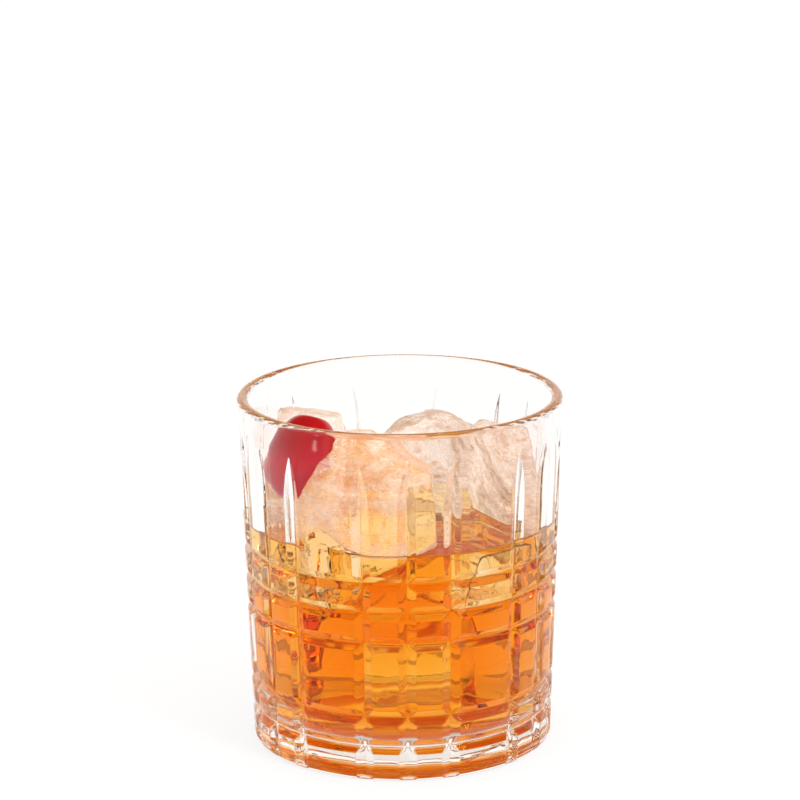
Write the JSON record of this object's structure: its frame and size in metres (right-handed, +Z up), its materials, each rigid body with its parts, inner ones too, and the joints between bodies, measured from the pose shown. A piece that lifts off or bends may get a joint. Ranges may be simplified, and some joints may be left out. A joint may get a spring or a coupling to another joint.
{
  "type": "old fashioned cocktail in a tumbler",
  "caption": "Amber old fashioned drink in a heavy clear tumbler with a plaid of V cuts, with large ice chunks standing out of it and a dark red cocktail cherry.",
  "frame": {"origin": "centre of the tumbler's foot, on the plane that it stands on", "axes": "+Z up along the tumbler's axis; +Y away from the drinker's side that shows the cherry at the left"},
  "size_m": [0.084, 0.084, 0.092],
  "materials": {
    "tumbler": "clear pressed glass, fire polished",
    "drink": "clear amber liquid",
    "ice": "wet clear ice with cracks",
    "cherry": "wet glossy cherry skin"
  },
  "bodies": {
    "root": {"tumbler": "tumbler", "drink": "drink", "cherry": "cherry", "ice_front": "ice", "ice_left": "ice", "ice_back": "ice", "ice_right": "ice"}
  },
  "joints": []
}
